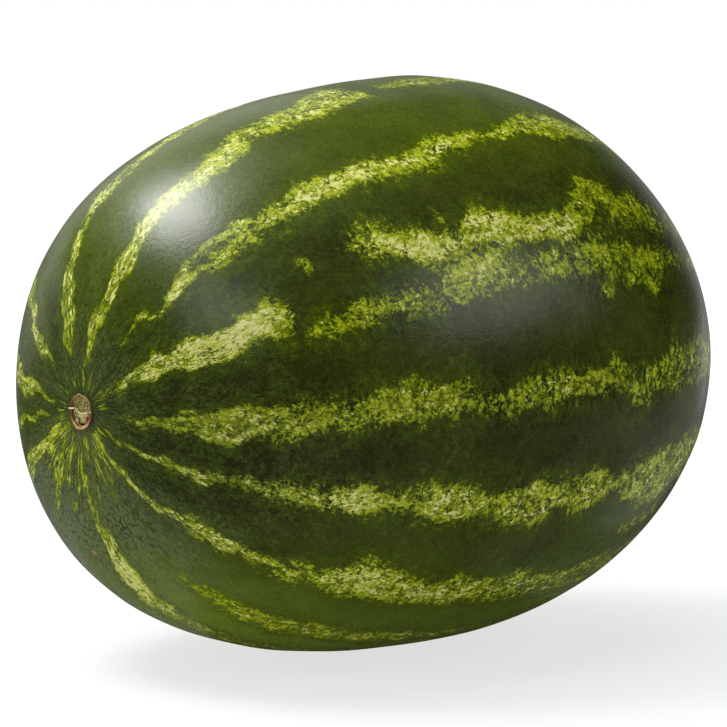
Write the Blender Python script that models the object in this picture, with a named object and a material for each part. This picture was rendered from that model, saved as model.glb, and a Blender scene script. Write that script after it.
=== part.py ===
"""A whole seedless watermelon, lying on its side on a small flat spot.

One closed solid: the long rind, the corky scar at the stem end (towards -X), the small scar at the
blossom end (towards +X) and the flat spot underneath. Metres, +Z up. The origin is under the middle of
the fruit, on the surface that it rests on.
"""

from math import asin, cos, exp, hypot, pi, radians, sin

import bmesh
import bpy
from mathutils import Matrix, Vector

# The fruit's body. Ratios are in units of its radius.
FRUIT_RADIUS = 0.112
LENGTH_RATIO = 1.27
MEAN_POWER = 2.38  # 2 is an ellipse, and more has blunter ends
STEM_POWER = 0.27  # added at the stem end and taken off at the blossom end
STEM_TAPER = -0.075  # the stem end is this much slimmer
OVAL = 0.01
OVAL_TURN = radians(41.5)
THREE_SIDED = 0.022
THREE_SIDED_TURN = radians(-6.5)
FRONT_BEND = 0.021  # the middle bows towards the front
TOP_BEND = -0.016  # and a little down

# How it lies.
STEM_DROOP = radians(3.2)
FLAT_DEPTH = 0.0012

# The scar where the stem came off.
STEM_DIMPLE_RADIUS = 0.020
STEM_DIMPLE_DEPTH = 0.0009
RIM_RADIUS = 0.0061
RIM_WIDTH = 0.0008
RIM_HEIGHT = 0.0011
RIM_LEAN = 0.3  # the rim is this much lower above and higher below
RIM_WAVE = 0.16
RIM_WAVES = ((3, 0.4, 1.0), (7, 1.9, 0.6), (11, 0.0, 0.4))  # swells round the rim, phase, share
GROOVE_RADIUS = 0.0075
GROOVE_WIDTH = 0.0005
GROOVE_DEPTH = 0.0003
CUP_RADIUS = 0.0052
CUP_DEPTH = 0.0013
STUB_RADIUS = 0.0036
STUB_HEIGHT = 0.0012
STUB_RISE = 0.0012  # the stub sits above the cup's middle
STUB_RIDGE = 0.00012
STUB_RIDGE_STEP = 0.0005
EDGE_SOFTNESS = 0.0007

# The scar where the flower came off.
BLOSSOM_DIMPLE_RADIUS = 0.014
BLOSSOM_DIMPLE_DEPTH = 0.0010
BUTTON_RADIUS = 0.0034
BUTTON_HEIGHT = 0.0005

# How finely the surface is divided.
SIDES = 72
BODY_RINGS = 46
STEM_RING_STEP = 0.0006
STEM_RING_COUNT = 15
STEM_OUTER_RINGS = (0.0102, 0.0125, 0.0155)
BLOSSOM_RINGS = (0.0012, 0.0024, 0.0033, 0.0042, 0.0060, 0.0085, 0.0120)
BODY_START = 0.019  # distance from the axis where the even rings begin

SNAP = 0.00002
SHARP_ANGLE = radians(40)

RIND = {"name": "rind", "colour": (0.035, 0.07, 0.012), "roughness": 0.32, "metallic": 0.0}
CORK = {"name": "cork", "colour": (0.42, 0.26, 0.11), "roughness": 0.85, "metallic": 0.0}


def clear_scene():
    for item in list(bpy.data.objects):
        bpy.data.objects.remove(item)


def ramp(low, high, value):
    """0 below low, 1 above high and a smooth rise between."""
    share = min(max((value - low) / (high - low), 0.0), 1.0)
    return share * share * (3 - 2 * share)


def bump(centre, width, value):
    return exp(-(((value - centre) / width) ** 2))


def rind_point(angle, turn):
    """The bare rind, in radii. angle runs from the stem end (0) to the blossom end (pi), and turn goes
    round the long axis from the front (0) over the top (a quarter turn) to the back."""
    along = cos(angle)
    across = sin(angle)
    power = MEAN_POWER + STEM_POWER * along
    reach = (abs(along / LENGTH_RATIO) ** power + abs(across) ** power) ** (-1 / power)
    place = reach * along / LENGTH_RATIO
    lobes = OVAL * cos(2 * (turn - OVAL_TURN)) + THREE_SIDED * cos(3 * (turn - THREE_SIDED_TURN))
    radius = reach * across * (1 + STEM_TAPER * place) * (1 + lobes)
    bow = 1 - place * place
    front = radius * cos(turn) + FRONT_BEND * bow
    rise = radius * sin(turn) + TOP_BEND * bow
    return Vector((-reach * along, -front, rise))


def stem_relief(radius, turn):
    """How far the surface stands out along the axis at the stem end, in metres."""
    wave = sum(share * sin(count * turn + phase) for count, phase, share in RIM_WAVES)
    rim = RIM_HEIGHT * (1 - RIM_LEAN * sin(turn) + RIM_WAVE * wave)
    height = rim * bump(RIM_RADIUS, RIM_WIDTH, radius)
    height -= GROOVE_DEPTH * bump(GROOVE_RADIUS, GROOVE_WIDTH, radius)
    height -= CUP_DEPTH * (1 - ramp(CUP_RADIUS - EDGE_SOFTNESS, CUP_RADIUS, radius))
    side = radius * cos(turn)
    rise = radius * sin(turn) - STUB_RISE
    on_stub = 1 - ramp(STUB_RADIUS - EDGE_SOFTNESS, STUB_RADIUS, hypot(side, rise))
    height += on_stub * (STUB_HEIGHT + STUB_RIDGE * sin(side / STUB_RIDGE_STEP))
    height -= STEM_DIMPLE_DEPTH * (1 - ramp(0, STEM_DIMPLE_RADIUS, radius))
    return height


def blossom_relief(radius):
    height = BUTTON_HEIGHT * (1 - ramp(BUTTON_RADIUS - EDGE_SOFTNESS, BUTTON_RADIUS, radius))
    return height - BLOSSOM_DIMPLE_DEPTH * (1 - ramp(0, BLOSSOM_DIMPLE_RADIUS, radius))


def surface_point(angle, turn):
    """The finished surface in metres, before the fruit is laid down."""
    point = rind_point(angle, turn) * FRUIT_RADIUS
    radius = sin(angle) * LENGTH_RATIO * FRUIT_RADIUS
    if angle < pi / 2:
        point.x -= stem_relief(radius, turn)
    else:
        point.x += blossom_relief(radius)
    return point


def ring_angles():
    """The angle of each ring from the stem end to the blossom end: fine at the scars, even between."""
    half_length = LENGTH_RATIO * FRUIT_RADIUS
    stem = [STEM_RING_STEP * (i + 1) for i in range(STEM_RING_COUNT)] + list(STEM_OUTER_RINGS)
    angles = [asin(radius / half_length) for radius in stem]
    start = asin(BODY_START / half_length)
    step = (pi - 2 * start) / (BODY_RINGS - 1)
    angles += [start + step * i for i in range(BODY_RINGS)]
    angles += [pi - asin(radius / half_length) for radius in reversed(BLOSSOM_RINGS)]
    return angles


def build_surface(bm):
    """Rings of points joined by quads, with a fan of triangles at each end."""
    turns = [2 * pi * i / SIDES for i in range(SIDES)]
    rings = []
    for angle in ring_angles():
        rings.append([bm.verts.new(surface_point(angle, turn)) for turn in turns])
    stem_pole = bm.verts.new(surface_point(0.0, 0.0))
    blossom_pole = bm.verts.new(surface_point(pi, 0.0))
    for i in range(SIDES):
        j = (i + 1) % SIDES
        bm.faces.new((stem_pole, rings[0][i], rings[0][j]))
        for near, far in zip(rings, rings[1:]):
            bm.faces.new((near[i], far[i], far[j], near[j]))
        bm.faces.new((blossom_pole, rings[-1][j], rings[-1][i]))
    bmesh.ops.recalc_face_normals(bm, faces=bm.faces)


def lay_down(bm):
    """Lets the stem end droop, cuts the flat spot and puts the origin under the fruit's middle."""
    bmesh.ops.rotate(bm, verts=bm.verts, matrix=Matrix.Rotation(-STEM_DROOP, 3, "Y"))
    floor = min(v.co.z for v in bm.verts) + FLAT_DEPTH
    bmesh.ops.bisect_plane(
        bm,
        geom=bm.verts[:] + bm.edges[:] + bm.faces[:],
        dist=SNAP,
        plane_co=(0, 0, floor),
        plane_no=(0, 0, 1),
        use_snap_center=True,
        clear_inner=True,
    )
    bmesh.ops.contextual_create(bm, geom=[edge for edge in bm.edges if edge.is_boundary])
    xs = [v.co.x for v in bm.verts]
    ys = [v.co.y for v in bm.verts]
    middle = Vector(((min(xs) + max(xs)) / 2, (min(ys) + max(ys)) / 2, floor))
    bmesh.ops.translate(bm, verts=bm.verts, vec=-middle)


def shade(bm):
    """Smooth all over, with an edge only where the surface turns sharply and round the flat spot."""
    flat_spot = min(bm.faces, key=lambda face: face.normal.z)
    for face in bm.faces:
        face.smooth = face is not flat_spot
    for edge in bm.edges:
        edge.smooth = edge.calc_face_angle() < SHARP_ANGLE
    for edge in flat_spot.edges:
        edge.smooth = False


def principled(look):
    material = bpy.data.materials.new(look["name"])
    material.use_nodes = True
    shader = material.node_tree.nodes["Principled BSDF"]
    shader.inputs["Base Color"].default_value = (*look["colour"], 1.0)
    shader.inputs["Roughness"].default_value = look["roughness"]
    shader.inputs["Metallic"].default_value = look["metallic"]
    return material


def is_cork(face):
    """True on the two scars, which are the only faces this near the long axis at the ends."""
    middle = face.calc_center_median()
    outer = GROOVE_RADIUS if middle.x < 0 else BUTTON_RADIUS
    return hypot(middle.y, middle.z) < outer


def make_watermelon():
    bm = bmesh.new()
    build_surface(bm)
    for face in bm.faces:
        face.material_index = int(is_cork(face))
    lay_down(bm)
    shade(bm)
    mesh = bpy.data.meshes.new("watermelon")
    bm.to_mesh(mesh)
    bm.free()
    mesh.materials.append(principled(RIND))
    mesh.materials.append(principled(CORK))
    watermelon = bpy.data.objects.new("watermelon", mesh)
    bpy.context.scene.collection.objects.link(watermelon)


clear_scene()
make_watermelon()
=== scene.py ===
import math
import random

import bpy
import numpy as np
from mathutils import Matrix, Vector, noise


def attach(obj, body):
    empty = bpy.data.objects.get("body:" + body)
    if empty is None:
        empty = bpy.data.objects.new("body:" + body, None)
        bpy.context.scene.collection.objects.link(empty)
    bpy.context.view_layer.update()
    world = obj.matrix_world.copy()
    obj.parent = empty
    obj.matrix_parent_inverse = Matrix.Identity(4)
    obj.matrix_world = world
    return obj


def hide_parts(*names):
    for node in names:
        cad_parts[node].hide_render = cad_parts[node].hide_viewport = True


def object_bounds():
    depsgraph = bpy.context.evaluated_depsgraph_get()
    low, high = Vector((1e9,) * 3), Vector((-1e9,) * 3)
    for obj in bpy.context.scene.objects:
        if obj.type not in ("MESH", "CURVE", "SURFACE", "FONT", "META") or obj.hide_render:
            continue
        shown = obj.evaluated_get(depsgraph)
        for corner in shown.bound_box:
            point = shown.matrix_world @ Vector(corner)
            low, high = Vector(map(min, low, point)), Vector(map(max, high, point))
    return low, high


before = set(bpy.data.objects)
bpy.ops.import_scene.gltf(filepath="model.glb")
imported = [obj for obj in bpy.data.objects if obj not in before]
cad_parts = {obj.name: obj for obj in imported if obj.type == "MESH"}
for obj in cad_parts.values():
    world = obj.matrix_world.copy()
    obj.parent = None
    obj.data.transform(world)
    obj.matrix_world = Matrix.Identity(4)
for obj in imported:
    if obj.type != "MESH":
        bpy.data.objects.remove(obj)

print("frame loaded, with", ", ".join(sorted(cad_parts)))
cadLow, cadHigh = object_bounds()
mm = 0.001

# The fruit's form, in units of its radius where nothing else is said.
# An angle runs along it from the stem end (0) to the blossom end (180 degrees),
# and a turn goes round it from the front (0) over the top (90) to the back.
fruit = {
    "lengthRatio": 1.27,
    "meanPower": 2.38,          # 2 is an ellipse, more has blunter ends
    "stemPower": 0.27,
    "stemTaper": -0.075,        # the stem end is a little slimmer
    "oval": 0.01,
    "ovalTurn": 41.5,
    "threeSided": 0.022,
    "threeSidedTurn": -6.5,
    "frontBend": 0.021,
    "topBend": -0.016,
    "stemDroop": 3.2,           # degrees
    "fitSteps": (400, 721),     # points along and round the bare form as it is fitted to the frame
    "flatDepth": 1.2,           # millimetres, as all that follows
    "stemDimpleRadius": 20.0,
    "stemDimpleDepth": 0.9,
    "blossomDimpleRadius": 14.0,
    "blossomDimpleDepth": 1.0,
    "rippleHeight": 0.14,       # slow unevenness that bends the highlights
    "rippleSize": 30.0,
    "socketRadius": 6.6,        # the hollows that the two scars sit in
    "socketDepth": 3.0,
    "socketWall": 1.2,
    "buttonSocketRadius": 3.0,
    "buttonSocketDepth": 0.8,
    "buttonSocketWall": 0.8,
}


def smoothStep(low, high, value):
    share = np.clip((value - low) / (high - low), 0.0, 1.0)
    return share * share * (3.0 - 2.0 * share)


def dimple(depth, radius, wall, reach):
    # the depth of a round hollow whose wall takes up the outer part of its radius
    return depth * (1 - smoothStep(radius - wall, radius, reach))


def fromTurn(turn, centre):
    # how far round turn is from centre, in degrees from -180 to 180
    return (turn - centre + 180) % 360 - 180


def facing(turn, centre, power):
    # 1 at the turn centre, given in degrees, and 0 from a quarter turn away
    return np.clip(np.cos(turn - math.radians(centre)), 0, 1) ** power


def waves(points, size, seed, count=24, spread=(0.6, 1.5)):
    # a smooth random field of about -1 to 1, from plane waves of about this length
    draw = np.random.default_rng(seed)
    total = np.zeros(points.shape[:-1])
    for _ in range(count):
        direction = draw.normal(size=3)
        direction *= 2 * math.pi / size / np.linalg.norm(direction) * draw.uniform(*spread)
        total += np.cos(points @ direction + draw.uniform(0, 2 * math.pi))
    return total / math.sqrt(count)


def bareShape(angle, turn):
    along = np.cos(angle)
    across = np.sin(angle)
    power = fruit["meanPower"] + fruit["stemPower"] * along
    reach = (np.abs(along / fruit["lengthRatio"]) ** power + np.abs(across) ** power) ** (-1 / power)
    place = reach * along / fruit["lengthRatio"]
    lobes = fruit["oval"] * np.cos(2 * (turn - math.radians(fruit["ovalTurn"])))
    lobes = lobes + fruit["threeSided"] * np.cos(3 * (turn - math.radians(fruit["threeSidedTurn"])))
    radius = reach * across * (1 + fruit["stemTaper"] * place) * (1 + lobes)
    bow = 1 - place * place
    front = radius * np.cos(turn) + fruit["frontBend"] * bow
    rise = radius * np.sin(turn) + fruit["topBend"] * bow
    return np.stack(np.broadcast_arrays(-reach * along, -front, rise), axis=-1)


droop = np.array(Matrix.Rotation(-math.radians(fruit["stemDroop"]), 3, "Y"))
stemAxis = droop @ np.array([-1.0, 0.0, 0.0])
blossomAxis = -stemAxis


def fitToFrame():
    # the radius and the shift that lay the bare form on the CAD solid
    alongSteps, roundSteps = fruit["fitSteps"]
    angles = np.linspace(0, math.pi, alongSteps)
    angle, turn = np.meshgrid(angles, np.linspace(0, 2 * math.pi, roundSteps), indexing="ij")
    form = bareShape(angle, turn) @ droop.T
    low = form.reshape(-1, 3).min(axis=0)
    high = form.reshape(-1, 3).max(axis=0)
    flat = fruit["flatDepth"] * mm
    radius = (cadHigh.z - cadLow.z + flat) / (high[2] - low[2])
    middleY = (cadLow.y + cadHigh.y) / 2 - (low[1] + high[1]) / 2 * radius
    return radius, np.array([cadHigh.x - high[0] * radius, middleY, -low[2] * radius - flat])


fruitRadius, fruitShift = fitToFrame()
halfLength = fruit["lengthRatio"] * fruitRadius / mm      # millimetres, as all lengths of the surface
print(f"fruit radius {fruitRadius / mm:.2f} mm, shift {np.round(fruitShift / mm, 2)}")


def surface(angle, turn):
    # the skin in metres in the frame, with its two dimples and its slow ripple
    form = bareShape(angle, turn)
    ripple = waves(form * fruitRadius / mm, fruit["rippleSize"], 3) * fruit["rippleHeight"] * np.sin(angle)
    outward = form / np.linalg.norm(form, axis=-1, keepdims=True)
    points = (form * fruitRadius + outward * ripple[..., None] * mm) @ droop.T + fruitShift
    reach = np.sin(angle) * halfLength
    stemRadius = fruit["stemDimpleRadius"]
    blossomRadius = fruit["blossomDimpleRadius"]
    stemDip = dimple(fruit["stemDimpleDepth"], stemRadius, stemRadius, reach)
    blossomDip = dimple(fruit["blossomDimpleDepth"], blossomRadius, blossomRadius, reach)
    stemSide = np.cos(angle) > 0
    dip = np.where(stemSide, stemDip, blossomDip)
    axis = np.where(stemSide[..., None], stemAxis, blossomAxis)
    return points - axis * dip[..., None] * mm


def angleAt(reach):
    # the angle of a ring round the stem end that lies this many millimetres from the long axis
    return np.arcsin(np.clip(reach / halfLength, 0, 1))


def newPiece(name, points, faces, material, slot):
    # a smooth mesh of triangles and quads that stands for the CAD fruit and moves with it
    mesh = bpy.data.meshes.new(name)
    mesh.from_pydata(points.tolist(), [], faces)
    mesh.materials.append(material)
    mesh.shade_smooth()
    piece = bpy.data.objects.new(name, mesh)
    bpy.context.scene.collection.objects.link(piece)
    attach(piece, "root")
    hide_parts("watermelon")
    return piece


def addField(piece, name, values):
    # a number for each vertex that a material can read
    field = piece.data.attributes.new(name, "FLOAT", "POINT")
    field.data.foreach_set("value", np.ascontiguousarray(values, dtype=np.float32).ravel())


def addPlaces(piece, name, points):
    # a place for each vertex, in millimetres, that a material can read in place of its own
    places = piece.data.attributes.new(name, "FLOAT_VECTOR", "POINT")
    places.data.foreach_set("vector", np.ascontiguousarray(points, dtype=np.float32).ravel())


def ringFaces(rings, sides):
    # quads between rings of vertices, and a fan of triangles at each end to the two vertices after them
    firstPole = rings * sides
    lastPole = firstPole + 1
    lastRing = firstPole - sides
    faces = []
    for side in range(sides):
        following = (side + 1) % sides
        faces.append((firstPole, side, following))
        for ring in range(rings - 1):
            near = ring * sides
            far = near + sides
            faces.append((near + side, far + side, far + following, near + following))
        faces.append((lastPole, lastRing + following, lastRing + side))
    return faces


def scarGrid(step, radius, sides):
    # the reach and the turn of each vertex on a round scar
    return np.meshgrid(np.arange(step, radius, step), np.arange(sides) * 2 * math.pi / sides, indexing="ij")


def onEnd(side, rise, out, axis):
    # a point in metres, out millimetres above the skin of the end that axis points to
    angle = angleAt(np.hypot(side, rise))
    if axis is blossomAxis:
        angle = math.pi - angle
    return surface(angle, np.arctan2(rise, side)) + axis * np.asarray(out)[..., None] * mm


def newScar(name, axis, side, rise, heights, middle, under, material):
    # a round lid of corky tissue on one end of the fruit, closed underneath
    centre = np.zeros(1)
    top = onEnd(side, rise, heights, axis).reshape(-1, 3)
    poles = [onEnd(centre, centre, centre + out, axis) for out in (middle, under)]
    return newPiece(name, np.concatenate([top, *poles]), ringFaces(*side.shape), material, "cork")


# Shader helpers.
def colour(red, green, blue):
    # a colour given as on screen, 0 to 255, for a socket that wants it linear
    levels = [level / 255 for level in (red, green, blue)]
    return tuple(v / 12.92 if v <= 0.04045 else ((v + 0.055) / 1.055) ** 2.4 for v in levels) + (1.0,)


def feed(tree, node, key, value):
    # links the output of another node to an input, or sets a plain value there
    if isinstance(value, bpy.types.NodeSocket):
        tree.links.new(value, node.inputs[key])
    else:
        node.inputs[key].default_value = value


def put(tree, kind, inputs=None, **settings):
    # adds a node, makes its settings and feeds its inputs
    node = tree.nodes.new("ShaderNode" + kind)
    for key, value in settings.items():
        setattr(node, key, value)
    for key, value in (inputs or {}).items():
        feed(tree, node, key, value)
    return node


def calc(tree, operation, first, second=0.0, third=0.0, clamp=False):
    values = {0: first, 1: second, 2: third}
    return put(tree, "Math", values, operation=operation, use_clamp=clamp).outputs[0]


def rise(tree, value, low, high, start=0.0, end=1.0):
    # a smooth rise from start to end as value goes from low to high
    inputs = {"Value": value, "From Min": low, "From Max": high, "To Min": start, "To Max": end}
    return put(tree, "MapRange", inputs, interpolation_type="SMOOTHSTEP").outputs["Result"]


def blend(tree, share, first, second, how="MIX"):
    return put(tree, "Mix", {0: share, 6: first, 7: second}, data_type="RGBA", blend_type=how).outputs[2]


def vectors(tree, operation, first, second):
    return put(tree, "VectorMath", {0: first, 1: second}, operation=operation).outputs[0]


def scaled(tree, place, factor):
    return put(tree, "VectorMath", {0: place, "Scale": factor}, operation="SCALE").outputs[0]


def lengthOf(tree, place):
    return put(tree, "VectorMath", {0: place}, operation="LENGTH").outputs["Value"]


def squashed(tree, place, size, stretch):
    # place in units of this size, with the pattern drawn together along each axis by its stretch
    return put(tree, "Mapping", {"Vector": place, "Scale": tuple(s / size for s in stretch)}).outputs[0]


def fractal(tree, place, detail, roughness, bend=0.0, scale=1.0):
    inputs = {"Vector": place, "Scale": scale, "Detail": detail, "Roughness": roughness, "Distortion": bend}
    return put(tree, "TexNoise", inputs).outputs["Fac"]


def grain(tree, place, size, detail=2.0, roughness=0.5, bend=0.0, stretch=(1, 1, 1)):
    # fractal noise with features of about this size, in the units of place
    return fractal(tree, squashed(tree, place, size, stretch), detail, roughness, bend)


def crackle(tree, place, feature, output="Distance", scale=1.0):
    # a pattern of irregular cells
    return put(tree, "TexVoronoi", {"Vector": place, "Scale": scale}, feature=feature).outputs[output]


def field(tree, name):
    return put(tree, "Attribute", attribute_name=name, attribute_type="GEOMETRY")


def newMaterial(name):
    material = bpy.data.materials.new(name)
    material.use_nodes = True
    material.node_tree.nodes.clear()
    tree = material.node_tree
    shader = put(tree, "BsdfPrincipled")
    put(tree, "OutputMaterial", {0: shader.outputs[0]})
    return material, tree, shader


def finish(tree, shader, tone, roughness, specular, height, strength, depth):
    # gives the shader its colour and roughness, and a fine relief this many metres deep
    bump = put(tree, "Bump", {"Height": height, "Strength": strength, "Distance": depth})
    feed(tree, shader, "Base Color", tone)
    feed(tree, shader, "Roughness", roughness)
    feed(tree, shader, "Specular IOR Level", specular)
    feed(tree, shader, "Normal", bump.outputs[0])


def newGroup(name, contrast, outputs):
    # a shader node group with a place, a size and a contrast to set, and the place in units of that size
    group = bpy.data.node_groups.new(name, "ShaderNodeTree")
    group.interface.new_socket("Place", in_out="INPUT", socket_type="NodeSocketVector")
    for label, value in (("Size", 1.0), ("Contrast", contrast)):
        socket = group.interface.new_socket(label, in_out="INPUT", socket_type="NodeSocketFloat")
        socket.default_value = value
    for label in outputs:
        group.interface.new_socket(label, in_out="OUTPUT", socket_type="NodeSocketFloat")
    start = group.nodes.new("NodeGroupInput").outputs
    end = group.nodes.new("NodeGroupOutput")
    return group, start, end, scaled(group, start["Place"], calc(group, "DIVIDE", 1.0, start["Size"]))


def placeGroup(tree, group, place, size, contrast):
    return put(tree, "Group", {"Place": place, "Size": size, "Contrast": contrast}, node_tree=group).outputs


def makeFreckleGroup():
    # tiny lighter and darker dots that break up any plant skin: a factor round 1, and a height
    group, start, end, place = newGroup("freckles", 0.3, ("Factor", "Height"))
    dot = rise(group, crackle(group, place, "F1"), 0.15, 0.55, 1.0, 0.0)
    cloud = fractal(group, place, 4.0, 0.7, scale=0.6)
    height = calc(group, "ADD", calc(group, "MULTIPLY", dot, 0.5), cloud)
    centred = calc(group, "SUBTRACT", height, 0.75)
    feed(group, end, "Factor", calc(group, "MULTIPLY_ADD", centred, start["Contrast"], 1.0))
    feed(group, end, "Height", height)
    return group


def makeCorkGroup():
    # dry corky tissue: a light and dark factor round 1, a crack mask and a height
    group, start, end, place = newGroup("corkGrain", 0.5, ("Factor", "Cracks", "Height"))
    cloud = fractal(group, place, 5.0, 0.7, 0.5)
    edges = crackle(group, place, "DISTANCE_TO_EDGE", scale=0.8)
    cracks = rise(group, edges, 0.02, 0.16, 1.0, 0.0)
    centred = calc(group, "SUBTRACT", cloud, 0.5)
    feed(group, end, "Factor", calc(group, "MULTIPLY_ADD", centred, start["Contrast"], 1.0))
    feed(group, end, "Cracks", cracks)
    feed(group, end, "Height", calc(group, "SUBTRACT", cloud, calc(group, "MULTIPLY", cracks, 0.4)))
    return group


freckleGroup = makeFreckleGroup()
corkGroup = makeCorkGroup()


def towards(azimuth, elevation):
    azimuth = math.radians(azimuth)
    elevation = math.radians(elevation)
    flat = math.cos(elevation)
    return Vector((math.sin(azimuth) * flat, -math.cos(azimuth) * flat, math.sin(elevation)))


# The camera, at the photograph's viewing angle.
view = {
    "azimuth": -42.14,
    "elevation": 6.0,
    "distance": 12.0,        # in fruit radii
    "lens": 168.48,
    "slideRight": -1.32,     # millimetres
    "slideUp": 0.09,
}


def placeCamera():
    back = towards(view["azimuth"], view["elevation"])
    right = towards(view["azimuth"] + 90, 0)
    up = back.cross(right)
    data = bpy.data.cameras.new("camera")
    data.lens = view["lens"]
    data.sensor_width = 36.0
    data.clip_end = 50.0
    camera = bpy.data.objects.new("camera", data)
    place = Vector(fruitShift) + back * view["distance"] * fruitRadius
    place += (right * view["slideRight"] + up * view["slideUp"]) * mm
    turnMatrix = Matrix((right, up, back)).transposed().to_4x4()
    camera.matrix_world = Matrix.Translation(place) @ turnMatrix
    bpy.context.scene.collection.objects.link(camera)
    bpy.context.scene.camera = camera
    bpy.context.scene.view_settings.view_transform = "Standard"


placeCamera()
print("camera placed")


# Soft studio light. Directions are azimuth and elevation in degrees as seen from the fruit.
studio = {
    "softboxes": [
        # name, azimuth, elevation, distance, width, height, watts, whether the skin mirrors it
        ("key", -138, 59, 1.5, 0.8, 0.52, 16.0, True),
        ("keyScreen", -154, 57, 1.5, 1.2, 1.1, 5.6, True),
        ("frontRight", 24, 34, 1.5, 0.8, 0.66, 3.1, True),
        ("leftSheen", -76, 36, 2.0, 1.2, 0.8, 5.2, True),
        ("backCard", 138, 6, 2.0, 2.4, 1.2, 1.7, True),
        ("backHigh", 160, 31, 2.0, 1.2, 0.9, 2.1, True),
        ("leftHaze", -172, 6, 2.0, 1.1, 0.7, 1.2, True),
        ("leftBack", 170, 16, 2.0, 0.9, 0.6, 0.5, True),
        ("rightHigh", 130, 30, 2.0, 0.8, 0.6, 0.35, True),
        ("rightLow", 92, -6, 1.5, 0.8, 0.34, 0.17, True),
        ("rightLowFar", 103, -6, 1.5, 0.36, 0.3, 0.15, True),
        ("leftRim", -145, 8, 1.5, 0.8, 0.8, 6.5, False),
        ("rightHaze", 112, 4, 2.0, 0.8, 0.5, 0.3, True),
        ("rightRim", 122, 4, 1.5, 0.8, 0.7, 4.0, False),
        ("top", 0, 86, 1.8, 1.4, 1.2, 14, False),
    ],
    "tableCards": [
        # name, azimuth, distance, width, depth, watts
        ("backTable", 178, 0.25, 0.34, 0.22, 0.135),
        ("stemTable", -118, 0.17, 0.15, 0.15, 0.024),
        ("rightTable", 64, 0.4, 0.3, 0.34, 0.24),
        ("rightTableNear", 54, 0.21, 0.2, 0.2, 0.026),
    ],
    # each table card is a stack of rectangles of these sizes, so that its edge is soft
    "tableLayers": (0.7, 1.0, 1.25),
    "roomGrey": 0.06,
    "roomMirror": 0.015,      # the room as the skin mirrors it
    "floorSides": 96,
    "floorRadius": 5.0,       # metres
    "floorDrop": 0.3,         # millimetres below the fruit
    "floorGrey": 0.45,        # as it lights the fruit
    "floorShown": 0.3,        # the same as the camera sees it, for a fainter shadow
    "floorLift": 0.7,         # what the camera sees added to it near the fruit
    "sweepStart": 0.45,       # metres from the fruit where it starts to fade into the white behind
    "sweepEnd": 1.6,
    "tableGlow": 0.44,        # soft light that the table throws up
}


def makeLight(name, place, facing, width, height, watts, mirrored=True):
    # a rectangle of light at place that shines against facing
    data = bpy.data.lights.new(name, "AREA")
    data.shape = "RECTANGLE"
    data.size = width
    data.size_y = height
    data.energy = watts
    light = bpy.data.objects.new(name, data)
    light.location = place
    light.rotation_euler = facing
    light.visible_camera = False
    light.visible_glossy = mirrored
    bpy.context.scene.collection.objects.link(light)


def makeSoftbox(name, azimuth, elevation, distance, width, height, watts, mirrored):
    direction = towards(azimuth, elevation)
    facing = direction.to_track_quat("Z", "Y").to_euler()
    makeLight(name, Vector(fruitShift) + direction * distance, facing, width, height, watts, mirrored)


def makeTableCard(name, azimuth, distance, width, depth, watts):
    # a card on the table that lights the fruit from below
    place = Vector((fruitShift[0], fruitShift[1], mm)) + towards(azimuth, 0) * distance
    facing = (math.pi, 0.0, math.radians(-azimuth))
    layers = studio["tableLayers"]
    for layer in layers:
        share = layer ** 2 / sum(size ** 2 for size in layers)
        makeLight(name, place, facing, width * layer, depth * layer, watts * share)


def grey(level):
    return (level, level, level, 1.0)


def makeRoom():
    world = bpy.data.worlds.new("room")
    bpy.context.scene.world = world
    world.use_nodes = True
    tree = world.node_tree
    tree.nodes.clear()
    rays = put(tree, "LightPath").outputs
    level = blend(tree, rays["Is Glossy Ray"], grey(studio["roomGrey"]), grey(studio["roomMirror"]))
    dim = put(tree, "Background", {"Color": level}).outputs[0]
    white = put(tree, "Background", {"Color": grey(1.0)}).outputs[0]
    mix = put(tree, "MixShader", {0: rays["Is Camera Ray"], 1: dim, 2: white}).outputs[0]
    put(tree, "OutputWorld", {0: mix})


def makeFloor():
    sides = studio["floorSides"]
    radius = studio["floorRadius"]
    turns = [2 * math.pi * side / sides for side in range(sides)]
    points = [(radius * math.cos(turn), radius * math.sin(turn), -studio["floorDrop"] * mm) for turn in turns]
    mesh = bpy.data.meshes.new("floor")
    mesh.from_pydata(points, [], [tuple(range(sides))])
    material, tree, shader = newMaterial("paleFloor")
    distance = lengthOf(tree, put(tree, "TexCoord").outputs["Object"])
    glow = rise(tree, distance, studio["sweepStart"], studio["sweepEnd"], studio["floorLift"], 1.0)
    rays = put(tree, "LightPath").outputs
    tone = blend(tree, rays["Is Camera Ray"], grey(studio["floorGrey"]), grey(studio["floorShown"]))
    thrown = calc(tree, "MULTIPLY", rays["Is Diffuse Ray"], studio["tableGlow"])
    lift = calc(tree, "MULTIPLY_ADD", glow, rays["Is Camera Ray"], thrown)
    feed(tree, shader, "Base Color", tone)
    feed(tree, shader, "Roughness", 0.9)
    feed(tree, shader, "Specular IOR Level", 0.0)
    feed(tree, shader, "Emission Color", blend(tree, lift, grey(0.0), grey(1.0)))
    feed(tree, shader, "Emission Strength", 1.0)
    mesh.materials.append(material)
    floor = bpy.data.objects.new("floor", mesh)
    floor.visible_glossy = False
    bpy.context.scene.collection.objects.link(floor)


for softbox in studio["softboxes"]:
    makeSoftbox(*softbox)
for card in studio["tableCards"]:
    makeTableCard(*card)
makeRoom()
makeFloor()
print("studio lit")


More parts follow.
